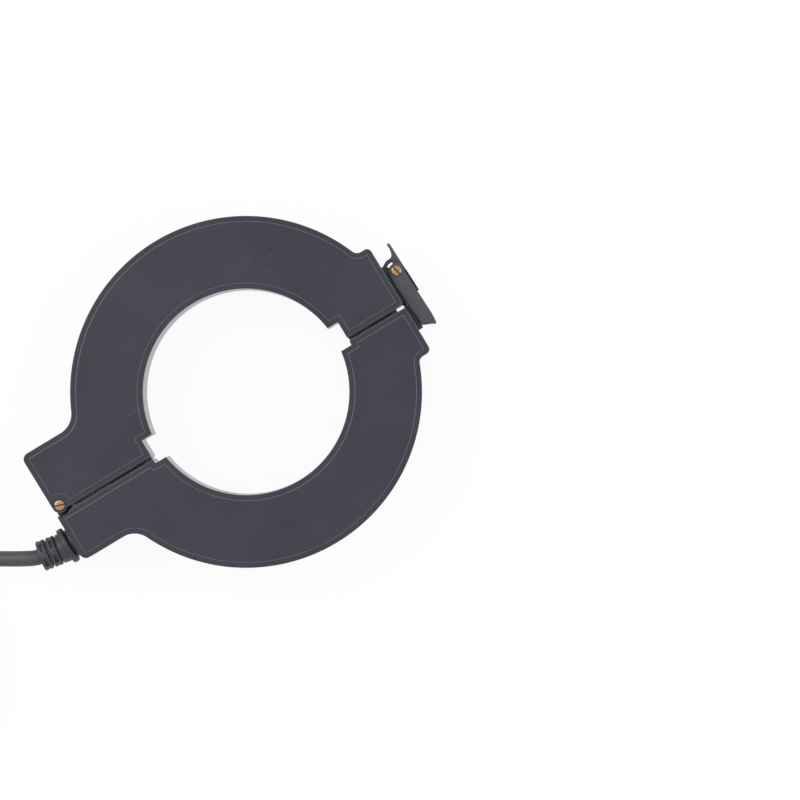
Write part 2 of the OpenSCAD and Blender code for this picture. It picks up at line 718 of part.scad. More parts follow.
module latch_sleeve() color("#b08d4c") at_latch() sleeve(-lever_w / 2, latch_seat_z - 0.2, latch_seat_z - 12);

module latch_screw() color("#b8954f") at_latch() slotted_screw(latch_seat_z, 10, latch_slot_turn);

// ---- Strain relief and lead ----

relief_neck_r = 5.8;
relief_inner_t = 1.6;
relief_core_r = 5.4;
// The relief outside the case: a base ring, a groove, the flange and a body of three ribs
relief_base_r = 8.2;
relief_base_t = 2.2;
relief_groove_r = 6.8;
relief_flange_z0 = 3;
relief_flange_z1 = 6.2;
rib_groove_w = 0.8;
rib_core_r = 6.5;
rib_window_w = 1.7;
rib_window_l = 4.8;

module at_relief() translate([-hinge_face, -lead_drop, mid_z]) rotate([0, -90, 0]) children();

// Ribbed body that starts at the flange; its outer two ribs are pierced by a ring of windows
module relief_body() {
    rib_n = 3;
    body_l = relief_l - relief_flange_z1;
    pitch = body_l / rib_n;
    rib_w = pitch - rib_groove_w;
    window_z = (rib_w - rib_window_w) / 2;
    difference() {
        union() {
            translate([0, 0, -relief_flange_z1 / 2])
                cylinder(r = rib_core_r, h = body_l + relief_flange_z1 / 2 - 1, $fn = small_fn);
            for (k = [0:rib_n - 1]) translate([0, 0, k * pitch + rib_groove_w]) {
                cylinder(r = rib_r, h = rib_w - (k == rib_n - 1 ? 0.8 : 0), $fn = small_fn);
                if (k == rib_n - 1) translate([0, 0, rib_w - 0.8])
                    cylinder(r1 = rib_r, r2 = rib_r - 0.8, h = 0.8, $fn = small_fn);
            }
        }
        for (k = [1:rib_n - 1], q = [0:5]) rotate(60 * q + 30)
            translate([relief_core_r, -rib_window_l / 2, k * pitch + rib_groove_w + window_z])
                cube([rib_r, rib_window_l, rib_window_w]);
    }
}

module strain_relief() color("#2b2c2f") at_relief() {
    translate([0, 0, -wall_t - relief_inner_t]) cylinder(r = relief_neck_r + 1.7, h = relief_inner_t, $fn = small_fn);
    translate([0, 0, -wall_t - eps]) cylinder(r = relief_neck_r, h = wall_t + 2 * eps, $fn = small_fn);
    cylinder(r = relief_base_r, h = relief_base_t, $fn = round_fn);
    cylinder(r = relief_groove_r, h = relief_flange_z0 + eps, $fn = small_fn);
    translate([0, 0, relief_flange_z0]) cylinder(r = relief_r, h = relief_flange_z1 - relief_flange_z0, $fn = round_fn);
    difference() {
        translate([0, 0, relief_flange_z1]) rotate([-relief_tilt, 0, 0]) relief_body();
        translate([-relief_d, -relief_d, relief_flange_z1 - 0.5 - relief_l]) cube([2 * relief_d, 2 * relief_d, relief_l]);
    }
}

// The lead leaves the relief, falls to the table and runs to a coil that holds the rest of it
relief_body_l = relief_l - relief_flange_z1;
relief_end = [-hinge_face - relief_flange_z1 - relief_body_l * cos(relief_tilt),
              -lead_drop + relief_body_l * sin(relief_tilt), mid_z];
// First step of the lead, straight on from the relief
lead_start = relief_end + 2 * [-cos(relief_tilt), sin(relief_tilt), 0];
lead_route = [
    [-145.3, -17.2, 18.95], [-149, -15.75, 18.6], [-153, -13.75, 17.8], [-157.2, -11.4, 16.5],
    [-162, -8.6, 14.5], [-168.5, -4.55, 11.6], [-176.5, 0.7, 8.4], [-185.5, 6.75, 6.1],
    [-195.3, 13.3, 4.9], [-205.5, 19.95, 4.6], [-216.5, 26.9, 5.05]
];
tail_route = [
    [-216.5, 26.9, 13.5], [-225, 32, 12.9], [-233, 36.8, 10.8], [-241, 41.6, 8.8], [-248, 45.8, 7.6],
    [-253, 48.8, 7.3]
];
plug_back = [-258, 51.8, 7.3];
plug_turn = atan2(3, -5);
coil_centre = [-246, -22];
coil_mid_r = 49;
coil_layers = 2;
coil_rows = 3;
tie_t = 0.8;
coil_r0 = coil_mid_r - coil_rows * lead_d / 2;
coil_r1 = coil_mid_r + coil_rows * lead_d / 2;
coil_h = coil_layers * lead_d;

module lead() color("#45464a") tube(concat([relief_end, lead_start], lead_route), lead_r, 10);

module lead_tail() color("#45464a") tube(concat(tail_route, [plug_back]), lead_r, 10);

module lead_coil() color("#45464a") translate([coil_centre.x, coil_centre.y, tie_t])
    rotate_extrude($fn = round_fn) translate([coil_r0, 0]) square([coil_r1 - coil_r0, coil_h]);

// Strap round the bundle of turns
module lead_tie() color("#1d1d1f") translate([coil_centre.x, coil_centre.y, 0]) rotate(235)
    rotate_extrude(angle = 11, $fn = round_fn) difference() {
        translate([coil_r0 - fit_gap - tie_t, 0]) square([coil_r1 - coil_r0 + 2 * (fit_gap + tie_t), coil_h + 2 * tie_t + fit_gap]);
        translate([coil_r0 - fit_gap, tie_t]) square([coil_r1 - coil_r0 + 2 * fit_gap, coil_h + fit_gap]);
    }

// ---- Moulded plug on the end of the lead ----

grip_r = 7.3;
grip_l = 30;
shroud_r = 4.6;

module at_plug() translate(plug_back) rotate([0, 90, plug_turn]) children();

module plug_grip() color("#232427") at_plug() difference() {
    rotate_extrude($fn = round_fn) polygon([
        [0, 0], [lead_r + 0.7, 0], [lead_r + 1.1, 7], [grip_r - 0.6, 10], [grip_r, 12], [grip_r, grip_l - 3],
        [grip_r - 0.8, grip_l], [0, grip_l]
    ]);
    translate([0, 0, grip_l - 3]) cylinder(r = shroud_r + fit_gap / 2, h = 4, $fn = round_fn);
    for (k = [0:4]) translate([0, 0, 13.5 + 2.6 * k]) difference() {
        cylinder(r = grip_r + 1, h = 1.1, $fn = round_fn);
        translate([0, 0, -1]) cylinder(r = grip_r - 0.5, h = 4, $fn = round_fn);
    }
}

module plug_shroud() color("#a9abad") at_plug() translate([0, 0, grip_l - 3]) difference() {
    cylinder(r = shroud_r, h = 12, $fn = round_fn);
    translate([0, 0, 1]) cylinder(r = shroud_r - 0.4, h = 12, $fn = round_fn);
    translate([0, -1, 9]) cube([shroud_r + 1, 2, 5]);
}

insert_l = 6;

module plug_insert() color("#151516") at_plug() translate([0, 0, grip_l - 2]) difference() {
    cylinder(r = shroud_r - 0.4 - fit_gap / 2, h = insert_l, $fn = round_fn);
    plug_pin_places() translate([0, 0, 2]) cylinder(r = pin_r + 0.05, h = insert_l, $fn = small_fn);
}

pin_r = 0.45;

module plug_pin_places() for (a = [45:90:315]) rotate(a) translate([2.3, 0, 0]) children();

module plug_pins() color("#c9a857") at_plug() translate([0, 0, grip_l]) plug_pin_places()
    cylinder(r = pin_r, h = insert_l + 2, $fn = small_fn);

lower_case();
lower_cover();
upper_case();
upper_cover();
lower_core();
upper_core();
winding_former();
winding();
core_cradle();
terminal_board();
burden_resistor();
hookup_wires();
hinge_sleeve();
hinge_screw();
latch_bracket();
bracket_screws();
keeper();
keeper_screws();
latch_lever();
latch_sleeve();
latch_screw();
strain_relief();
lead();
lead_coil();
lead_tail();
lead_tie();
plug_grip();
plug_shroud();
plug_insert();
plug_pins();
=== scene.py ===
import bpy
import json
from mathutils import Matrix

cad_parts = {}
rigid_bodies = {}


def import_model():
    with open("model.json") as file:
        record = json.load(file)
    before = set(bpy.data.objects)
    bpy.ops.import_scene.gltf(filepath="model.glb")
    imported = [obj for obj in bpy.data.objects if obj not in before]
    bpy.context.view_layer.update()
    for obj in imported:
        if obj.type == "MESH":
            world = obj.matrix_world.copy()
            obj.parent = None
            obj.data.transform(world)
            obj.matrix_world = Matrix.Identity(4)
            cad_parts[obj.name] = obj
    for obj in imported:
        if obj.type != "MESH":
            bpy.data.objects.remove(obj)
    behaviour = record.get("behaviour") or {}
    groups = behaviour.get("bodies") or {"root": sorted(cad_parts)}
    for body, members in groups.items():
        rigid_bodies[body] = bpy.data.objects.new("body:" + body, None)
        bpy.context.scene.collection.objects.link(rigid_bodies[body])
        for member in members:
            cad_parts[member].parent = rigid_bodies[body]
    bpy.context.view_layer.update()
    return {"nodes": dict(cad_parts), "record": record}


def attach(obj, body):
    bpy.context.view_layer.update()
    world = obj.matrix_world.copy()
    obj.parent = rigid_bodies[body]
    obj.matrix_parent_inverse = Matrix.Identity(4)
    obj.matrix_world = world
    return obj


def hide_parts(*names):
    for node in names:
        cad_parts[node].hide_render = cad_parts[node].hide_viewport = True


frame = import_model()

import json
import math
import bmesh
import bpy
import numpy as np
from mathutils import Euler, Matrix, Vector

scene = bpy.context.scene
scene.view_settings.view_transform = "Standard"
mm = 0.001
sharpAngle = 32  # degrees between two faces from which their edge stays sharp


# Puts points and faces into a mesh object that sits at the origin
def meshPiece(name, points, faces, smooth=True, sharp=sharpAngle):
    mesh = bpy.data.meshes.new(name)
    mesh.from_pydata(np.asarray(points, float).tolist(), [], [list(map(int, f)) for f in faces])
    mesh.polygons.foreach_set("use_smooth", [smooth] * len(mesh.polygons))
    if smooth:
        mesh.set_sharp_from_angle(angle=math.radians(sharp))
    piece = bpy.data.objects.new(name, mesh)
    scene.collection.objects.link(piece)
    return piece


# Quads of a grid of rows by columns, closed along the columns, and along the rows if ringed
def gridFaces(rows, columns, ringed=False):
    r = np.arange(rows if ringed else rows - 1)[:, None]
    c = np.arange(columns)[None, :]
    nextRow, nextColumn = (r + 1) % rows, (c + 1) % columns
    quads = np.stack([r * columns + c, r * columns + nextColumn,
                      nextRow * columns + nextColumn, nextRow * columns + c], -1)
    return quads.reshape(-1, 4)


# The camera looks straight down from far above the lugs, turned so that the split rises to the right
viewPlan = dict(overX=67.97, overY=-46.05, height=2130.0, rim=38.0, width=426.0, turn=-31.1)
eye = bpy.data.cameras.new("viewCamera")
eye.angle = 2 * math.atan(viewPlan["width"] / 2 / viewPlan["height"])
eye.clip_start, eye.clip_end = 0.05, 20
camera = bpy.data.objects.new("viewCamera", eye)
camera.location = (viewPlan["overX"] * mm, viewPlan["overY"] * mm,
                   (viewPlan["height"] + viewPlan["rim"]) * mm)
camera.rotation_euler = (0, 0, math.radians(viewPlan["turn"]))
scene.collection.objects.link(camera)
scene.camera = camera
print("camera ready")


# A socket's value in a finish; each operation on it makes a Math node
class Value:
    def __init__(self, finish, socket):
        self.finish, self.socket = finish, socket

    def math(self, operation, *values):
        return self.finish.node("Math", {"operation": operation}, dict(enumerate(values)))

    def __add__(self, other): return self.math("ADD", self, other)
    def __radd__(self, other): return self.math("ADD", other, self)
    def __sub__(self, other): return self.math("SUBTRACT", self, other)
    def __rsub__(self, other): return self.math("SUBTRACT", other, self)
    def __mul__(self, other): return self.math("MULTIPLY", self, other)
    def __rmul__(self, other): return self.math("MULTIPLY", other, self)
    def __pow__(self, other): return self.math("POWER", self, other)
    def __rpow__(self, other): return self.math("POWER", other, self)
    def __abs__(self): return self.math("ABSOLUTE", self)
    def sin(self): return self.math("SINE", self)
    def above(self, edge): return self.math("GREATER_THAN", self, edge)
    def most(self, other): return self.math("MAXIMUM", self, other)

    # 0 below low, 1 above high, smooth between
    def ramp(self, low, high):
        return self.finish.node("MapRange", {"interpolation_type": "SMOOTHSTEP"},
                                {"Value": self, "From Min": low, "From Max": high}, "Result")


# A material with one Principled shader; node() makes any node from its type, settings and values
class Finish:
    def __init__(self, name, values):
        self.material = bpy.data.materials.new(name)
        self.material.use_nodes = True
        self.tree = self.material.node_tree
        self.shader = self.tree.nodes["Principled BSDF"]
        self.feed(self.shader, values)

    def node(self, kind, settings, values, out=0):
        made = self.tree.nodes.new("ShaderNode" + kind)
        for key, value in settings.items():
            setattr(made, key, value)
        self.feed(made, values)
        return Value(self, made.outputs[out])

    # Links a value to its socket, or puts a colour or a number there
    def feed(self, node, values):
        for key, value in values.items():
            socket = node.inputs[key]
            if isinstance(value, Value):
                self.tree.links.new(value.socket, socket)
            else:
                socket.default_value = (*value, 1) if socket.type == "RGBA" else value

    def finished(self, values):
        self.feed(self.shader, values)
        return self.material

    def place(self): return self.node("TexCoord", {}, {}, "Object")
    def upright(self): return abs(self.split(self.node("NewGeometry", {}, {}, "Normal"))[2])

    def split(self, vector):
        parts = self.node("SeparateXYZ", {}, {0: vector}).socket.node
        return [Value(self, out) for out in parts.outputs]

    def noise(self, scale, detail=3, roughness=0.5, vector=None):
        return self.node("TexNoise", {}, {"Vector": vector or self.place(), "Scale": scale,
                                          "Detail": detail, "Roughness": roughness})

    def mix(self, factor, first, second):
        return self.node("Mix", {"data_type": "RGBA"}, {0: factor, 6: first, 7: second}, 2)

    def bump(self, height, distance):
        return self.node("Bump", {}, {"Height": height, "Distance": distance})


leadPlan = dict(
    width=8.4, sides=24, step=2.5, heading=(-0.8563, 0.5165, 0),
    reliefEnd=(-140.334, -18.334, 19.0), firstPoint=(-142.304, -17.987, 19.0),
    route=[(-145.0, -16.9, 18.95), (-148.5, -15.05, 18.6), (-152.45, -12.8, 17.8), (-156.6, -10.35, 16.5),
           (-161.4, -7.5, 14.5), (-167.9, -3.5, 11.6), (-176.0, 1.7, 8.4), (-185.1, 7.5, 6.1),
           (-195.0, 13.8, 4.9), (-205.3, 20.2, 4.6), (-216.5, 26.9, 5.05)],
    tail=[(-216.5, 26.9, 13.5), (-225, 32, 12.9), (-233, 36.8, 10.8), (-241, 41.6, 8.8), (-248, 45.8, 7.6),
          (-253, 48.8, 7.3), (-258, 51.8, 7.3)],
    coilCentre=(-246.0, -22.0), coilMiddle=49.0, coilStart=58.9, pitch=8.5, lowLayer=5.05)


# Smooth curve through points: cubic pieces, their slopes the neighbours' chords and given ways at the ends
def curveThrough(points, perPiece, startWay, endWay):
    p = np.array(points, float)
    slopes = np.gradient(p, axis=0)
    length = np.linalg.norm(np.diff(p, axis=0), axis=1)
    slopes[0], slopes[-1] = np.array(startWay) * length[0], np.array(endWay) * length[-1]
    t = np.linspace(0, 1, perPiece, endpoint=False)[None, :, None]
    a, b, ta, tb = p[:-1, None], p[1:, None], slopes[:-1, None], slopes[1:, None]
    curve = ((2 * t**3 - 3 * t**2 + 1) * a + (t**3 - 2 * t**2 + t) * ta
             + (3 * t**2 - 2 * t**3) * b + (t**3 - t**2) * tb)
    return np.vstack([curve.reshape(-1, 3), p[-1:]])


# Points along a curve at equal steps
def evenly(curve, step):
    along = np.r_[0, np.cumsum(np.linalg.norm(np.diff(curve, axis=0), axis=1))]
    places = np.linspace(0, along[-1], max(2, int(round(along[-1] / step)) + 1))
    return np.stack([np.interp(places, along, curve[:, k]) for k in range(3)], -1)


# Turns in one layer inwards, a rise, and a layer outwards: radius and height are smooth steps of the angle
def coilCurve(plan):
    turn = np.arange(2, 1800, 2.0)
    stepped = lambda start, span: np.clip((turn - start) / span, 0, 1)
    smooth = lambda s: s * s * (3 - 2 * s)
    radius = plan["coilMiddle"] + plan["pitch"] * (
        1 - smooth(stepped(240, 120)) - smooth(stepped(600, 120))
        + smooth(stepped(1100, 120)) + smooth(stepped(1460, 120)))
    height = plan["lowLayer"] + plan["pitch"] * smooth(stepped(860, 100))
    angle = np.radians(plan["coilStart"] + turn)
    return np.stack([plan["coilCentre"][0] + radius * np.cos(angle),
                     plan["coilCentre"][1] + radius * np.sin(angle), height], -1)


# Directions square to a path: to its side and level, and upwards
def pathFrame(path):
    tangent = np.gradient(path, axis=0)
    tangent /= np.linalg.norm(tangent, axis=1)[:, None]
    side = np.cross([0, 0, 1.0], tangent)
    side /= np.linalg.norm(side, axis=1)[:, None]
    return side, np.cross(tangent, side)


# Circle of a radius carried along a path: point = centre + r (cos a side + sin a up)
def tubePoints(path, radius, sides):
    side, up = pathFrame(path)
    a = np.linspace(0, 2 * np.pi, sides, endpoint=False)[None, :, None]
    radius = np.broadcast_to(radius, (len(path),))[:, None, None]
    return (path[:, None] + radius * (np.cos(a) * side[:, None] + np.sin(a) * up[:, None])).reshape(-1, 3)


# Quads between the circles, and a cap at each end
def tubeFaces(rows, sides):
    caps = [list(range(sides))[::-1], [(rows - 1) * sides + k for k in range(sides)]]
    return [*gridFaces(rows, sides)] + caps


# Route from the relief, through the coil, to the plug, as points at equal steps
def leadPath(plan):
    heading = plan["heading"]
    first = np.array(plan["firstPoint"]) - np.array(plan["reliefEnd"])
    first = first / np.linalg.norm(first)
    out = curveThrough([plan["reliefEnd"], plan["firstPoint"], *plan["route"]], 8, first, heading)
    plugWay = np.array(plan["tail"][-1]) - np.array(plan["tail"][-2])
    tail = curveThrough(plan["tail"], 8, heading, plugWay / np.linalg.norm(plugWay))
    return evenly(np.vstack([out[:-1], coilCurve(plan), tail[1:]]), plan["step"])


path = leadPath(leadPlan)
lead = meshPiece("leadCable", tubePoints(path, leadPlan["width"] / 2, leadPlan["sides"]) * mm,
                 tubeFaces(len(path), leadPlan["sides"]))
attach(lead, "lead_half")
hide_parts("lead", "lead_coil", "lead_tail")


# Points of an arc from one angle to another in degrees: centre + radius (cos a, sin a)
def arc(x, y, radius, start, end, count):
    a = np.radians(np.linspace(start, end, count))
    return np.stack([x + radius * np.cos(a), y + radius * np.sin(a)], -1)


# Points at equal steps between two others, without them
def line(start, end, count):
    return np.linspace(start, end, count + 2)[1:-1]


ringPlan = dict(
    boreR=55.0, ringR=93.75, rim=38.0, caseTop=32.0, wall=2.5, lipIn=2.6, floorDepth=3.0, coverDepth=3.0,
    splitY=-4.2, halfGap=1.0, notchR=61.0, notchUp=6.6, notchDown=7.6, lugHalf=32.25,
    hingeFace=120.55, latchFace=95.8, latchWall=5.0,
    hingeCorner=3.6, latchCorner=2.8, hingeFillet=12.0, latchFillet=4.0,
    hingeX=-116.25, hingeY=-0.4, knuckleR=4.1, hollowR=5.9, knuckleLow=12.0, knuckleHigh=26.0, knuckleGap=0.3,
    edgeRound=0.45, backRound=0.7, seam=0.28, cornerRound=0.5,
    panelInset=2.7, panelRise=0.4, panelClear=6.1, screwRecess=3.15, recessDepth=0.8, sleeveR=2.05,
    coreLow=9.9, coreHigh=28.1, coreIn=67.0, coreOut=88.35,
    seatFace=0.2, seatOut=91.25, seatHinge=111.6, ribTop=35.5)


# Outline of one half at an inset d: hinge corner, cut, notch, bore, notch, cut, latch lug, ring, hinge lug.
# The hinge corner is an arc bulging out (knuckle), a hollow of radius hollow, or straight.
def halfLoop(plan, side, d, corner="knuckle", hollow=0.0, latchIn=0.0):
    face, latch = -plan["hingeFace"] + d, plan["latchFace"] - d - latchIn
    hx, hy = plan["hingeX"], side * plan["hingeY"]
    cut = side * plan["splitY"] + plan["halfGap"] + d
    notch = (plan["notchUp"] if side > 0 else plan["notchDown"]) + d
    wall, top, bore, ring = plan["notchR"] + d, plan["lugHalf"] - d, plan["boreR"] + d, plan["ringR"] - d
    if corner == "knuckle":
        r = plan["knuckleR"] - d
        start = math.degrees(math.acos(max(-1.0, (face - hx) / r)))
        hinge = arc(hx, hy, r, start, 360 + math.degrees(math.asin((cut - hy) / r)), 28)
    elif corner == "hollow":
        start = math.degrees(math.acos(max(-1.0, (face - hx) / hollow)))
        hinge = arc(hx, hy, hollow, start, math.degrees(math.asin(min(1.0, (cut - hy) / hollow))), 28)
        hinge[:, 1] = np.maximum(hinge[:, 1], cut)
        hinge[0, 0] = face
    else:
        hinge = np.linspace((face, cut), (hx + 4, cut), 28)
    small, inner = max(plan["cornerRound"] - d, 0.08), plan["cornerRound"]
    meet = math.degrees(math.asin(notch / bore))
    cornerL, cornerH = max(plan["latchCorner"] - d, 0.1), max(plan["hingeCorner"] - d, 0.1)
    fillets = []
    for fillet, way in ((plan["latchFillet"], 1), (plan["hingeFillet"], -1)):
        y = plan["lugHalf"] + fillet
        x = math.sqrt((plan["ringR"] + fillet) ** 2 - y * y)
        fillets.append((way * x, y, fillet + d, math.degrees(math.atan2(y, way * x))))
    (lx, ly, lr, la), (gx, gy, gr, ga) = fillets
    parts = [
        hinge, line(hinge[-1], (-wall - small, cut), 6),
        arc(-wall - small, cut + small, small, -90, 0, 5),
        arc(-wall + inner, notch - inner, inner, 180, 90, 5),
        arc(0, 0, bore, 180 - meet, meet, 121),
        arc(wall - inner, notch - inner, inner, 90, 0, 5),
        arc(wall + small, cut + small, small, 180, 270, 5),
        line((wall + small, cut), (latch - small, cut), 6),
        arc(latch - small, cut + small, small, -90, 0, 5),
        arc(latch - cornerL, top - cornerL, cornerL, 0, 90, 9),
        arc(lx, ly, lr, -90, la - 180, 9),
        arc(0, 0, ring, la, ga, 161),
        arc(gx, gy, gr, ga - 180, -90, 13),
        arc(face + cornerH, top - cornerH, cornerH, 90, 180, 9),
        line((face, top - cornerH), hinge[0], 4)]
    loop = np.vstack(parts)
    return loop if side > 0 else (loop * [1, -1])[::-1]


# Loops stacked at their heights and closed with a face at each end
def stack(name, loops, heights, sharp=sharpAngle):
    count = len(loops[0])
    points = np.concatenate([np.c_[loop, np.full(count, z)] for loop, z in zip(loops, heights)])
    last = (len(loops) - 1) * count
    ends = [list(range(count))[::-1], [last + k for k in range(count)]]
    return meshPiece(name, points * mm, [*gridFaces(len(loops), count)] + ends, sharp=sharp)


# Quarter round between a side and a flat: inset = r (1 - cos t), drop below the edge = r (1 - sin t)
def roundOver(radius, edge, steps=4, up=True):
    t = np.linspace(0, np.pi / 2, steps + 1)
    inset, drop = radius * (1 - np.cos(t)), radius * (1 - np.sin(t))
    return list(zip(inset, edge - drop)) if up else list(zip(inset, edge + drop))[::-1]


# Cylinder: one circle at two heights
def drum(name, x, y, radius, low, high, sides=72):
    return stack(name, [arc(x, y, radius, 0, 360, sides + 1)[:-1]] * 2, (low, high))


# Box: one rectangle at two heights, from its lowest and highest corners
def block(name, low, high):
    (x0, y0, z0), (x1, y1, z1) = low, high
    return stack(name, [np.array([(x0, y0), (x1, y0), (x1, y1), (x0, y1)], float)] * 2, (z0, z1))


# Loops of a profile turned round an axis: pairs of distance along it and radius, smallest at both ends
def lathe(name, profile, sides):
    return stack(name, [arc(0, 0, r, 0, 360, sides + 1)[:-1] for s, r in profile], [s for s, r in profile])


# Block with its upper edges eased: a rectangle drawn in as it rises past them
def rib(name, x0, x1, y0, y1, low, high, ease=0.25):
    rect = lambda d: np.array([(x0 + d, y0 + d), (x1 - d, y0 + d), (x1 - d, y1 - d), (x0 + d, y1 - d)], float)
    heights = (low, high - ease, high - ease * 0.3, high)
    return stack(name, [rect(0), rect(0), rect(ease * 0.3), rect(ease)], heights)


# Moves the points of a piece: turned by angles about x, then y, then z in degrees, then shifted
def stand(piece, shift, turn=(0, 0, 0)):
    spin = Euler([math.radians(a) for a in turn]).to_matrix().to_4x4()
    piece.data.transform(Matrix.Translation(Vector(shift) * mm) @ spin)
    return piece


# Joins or cuts a piece with others, which are then thrown away, and keeps the result as its mesh
def carve(piece, joined=(), cutters=()):
    for operation, tools in (("UNION", joined), ("DIFFERENCE", cutters)):
        for tool in tools:
            step = piece.modifiers.new(operation, "BOOLEAN")
            step.operation, step.object, step.solver = operation, tool, "EXACT"
    graph = bpy.context.evaluated_depsgraph_get()
    old = piece.data
    piece.data = bpy.data.meshes.new_from_object(piece.evaluated_get(graph))
    piece.modifiers.clear()
    bpy.data.meshes.remove(old)
    for tool in (*joined, *cutters):
        bpy.data.meshes.remove(tool.data)
    piece.data.polygons.foreach_set("use_smooth", [True] * len(piece.data.polygons))
    piece.data.set_sharp_from_angle(angle=math.radians(sharpAngle))
    return piece


# Adds the meshes of other pieces to one piece as they are, with no cut between them
def gather(piece, others):
    bm = bmesh.new()
    for part in (piece, *others):
        bm.from_mesh(part.data)
    bm.to_mesh(piece.data)
    bm.free()
    for part in others:
        bpy.data.meshes.remove(part.data)
    piece.data.set_sharp_from_angle(angle=math.radians(sharpAngle))
    return piece


# Strap drawn round a bundle: the hull of the turns that pass at one angle, each point standing out from the
# turn that reaches furthest its way, carried across a short arc with a rounded edge
def strapRound(plan, turns):
    around = np.degrees(np.arctan2(turns[:, 1] - plan["centre"][1], turns[:, 0] - plan["centre"][0])) % 360
    here = turns[np.abs(around - plan["angle"]) < 1.6]
    spots = np.stack([np.hypot(here[:, 0] - plan["centre"][0], here[:, 1] - plan["centre"][1]), here[:, 2]], -1)
    ways = np.radians(np.arange(0, 360, 4.0))
    way = np.stack([np.cos(ways), np.sin(ways)], -1)
    furthest = spots[np.argmax(spots @ way.T, axis=0)]
    loops = []
    half, thick = plan["wide"] / 2, plan["thick"]
    for out, across in ((0.0, -half), (thick * 0.7, -half), (thick, -half + 0.3), (thick, half - 0.3),
                        (thick * 0.7, half), (0.0, half)):
        ring = furthest + way * (plan["turnR"] + out)
        turn = math.radians(plan["angle"]) + across / plan["middle"]
        loops.append(np.stack([plan["centre"][0] + ring[:, 0] * math.cos(turn),
                               plan["centre"][1] + ring[:, 0] * math.sin(turn), np.maximum(ring[:, 1], 0.02)], -1))
    faces = gridFaces(len(loops), len(ways), ringed=True)
    return meshPiece("leadStrap", np.concatenate(loops) * mm, faces[:, ::-1], sharp=50)


strapPlan = dict(centre=leadPlan["coilCentre"], angle=240.5, middle=leadPlan["coilMiddle"], wide=9.0, thick=0.75,
                 turnR=leadPlan["width"] / 2 + 0.03)
strap = strapRound(strapPlan, path)


# Rectangle with its corners rounded, in x and z
def roundedBox(x0, x1, z0, z1, r):
    return np.vstack([arc(x0 + r, z0 + r, r, 180, 270, 4), arc(x1 - r, z0 + r, r, 270, 360, 4),
                      arc(x1 - r, z1 - r, r, 0, 90, 4), arc(x0 + r, z1 - r, r, 90, 180, 4)])


# Outer loop of a half at an inset d: the upper half has the knuckle, the lower half the hollow round it
def outline(plan, side, d):
    return halfLoop(plan, side, d) if side > 0 else halfLoop(plan, side, d, "hollow", plan["hollowR"] + d)


# Frame that stands round a core face: outer loop, face, and the window back into the wall
def seatFrame(plan, side, x0, x1, w0, w1):
    wallY = plan["splitY"] + side * (plan["halfGap"] + 1.5)
    faceY = plan["splitY"] + side * plan["seatFace"]
    low, high = 4.0, plan["caseTop"] - 0.02
    rows = [(roundedBox(x0, x1, low, high, 0.6), wallY),
            (roundedBox(x0, x1, low, high, 0.6), faceY + side * 0.25),
            (roundedBox(x0 + 0.1, x1 - 0.1, low + 0.1, high - 0.1, 0.55), faceY + side * 0.06),
            (roundedBox(x0 + 0.3, x1 - 0.3, low + 0.3, high - 0.3, 0.5), faceY),
            (roundedBox(w0 - 0.15, w1 + 0.15, plan["coreLow"] - 0.15, plan["coreHigh"] + 0.15, 0.3), faceY),
            (roundedBox(w0, w1, plan["coreLow"], plan["coreHigh"], 0.2), faceY + side * 0.15),
            (roundedBox(w0, w1, plan["coreLow"], plan["coreHigh"], 0.2), wallY)]
    points = np.concatenate([np.stack([loop[:, 0], np.full(len(loop), y), loop[:, 1]], -1) for loop, y in rows])
    faces = gridFaces(len(rows), len(rows[0][0]), ringed=True)
    return meshPiece("seat", points * mm, faces if side < 0 else faces[:, ::-1])


# Case: the loop carried up from a rounded back, hollowed, with windows for the core faces and a seat round each
def caseHalf(plan, side, name):
    rows = [(plan["backRound"] + 0.8, 0.0)] + roundOver(plan["backRound"], 0.0, up=False)
    rows += [(0.0, 8.0), (0.0, 30.0), (0.0, plan["caseTop"] - plan["seam"] - 0.02)]
    rows += [(plan["seam"], plan["caseTop"] - 0.02), (plan["seam"] + 0.8, plan["caseTop"] - 0.02)]
    shell = stack(name, [outline(plan, side, d) for d, z in rows], [z for d, z in rows])
    inner = halfLoop(plan, side, plan["wall"], "hollow", plan["hollowR"] + plan["wall"],
                     plan["latchWall"] - plan["wall"])
    cutters = [stack("hollow", [inner, inner], (plan["floorDepth"], plan["caseTop"] + 1))]
    y0, y1 = sorted((plan["splitY"], plan["splitY"] + side * 5.0))
    for x0, x1 in ((plan["coreIn"], plan["coreOut"]), (-plan["coreOut"], -plan["coreIn"])):
        cutters.append(block("window", (x0, y0, plan["coreLow"]), (x1, y1, plan["coreHigh"])))
    hx, hy = plan["hingeX"], plan["hingeY"]
    if side > 0:
        cutters += [drum("space", hx, hy, plan["hollowR"], plan["knuckleLow"] - plan["knuckleGap"],
                         plan["knuckleHigh"] + plan["knuckleGap"]),
                    drum("hole", hx, hy, plan["sleeveR"], -1, plan["caseTop"] + 1, 40),
                    drum("sink", hx, hy, plan["screwRecess"], -1, 1.6, 48)]
    carve(shell, cutters=cutters)
    extras = [seatFrame(plan, side, plan["notchR"] + 0.5, plan["seatOut"], plan["coreIn"], plan["coreOut"]),
              seatFrame(plan, side, -plan["seatHinge"], -plan["notchR"] - 0.5, -plan["coreOut"], -plan["coreIn"])]
    if side < 0:
        extras.append(knuckle(plan))
    return gather(shell, extras)


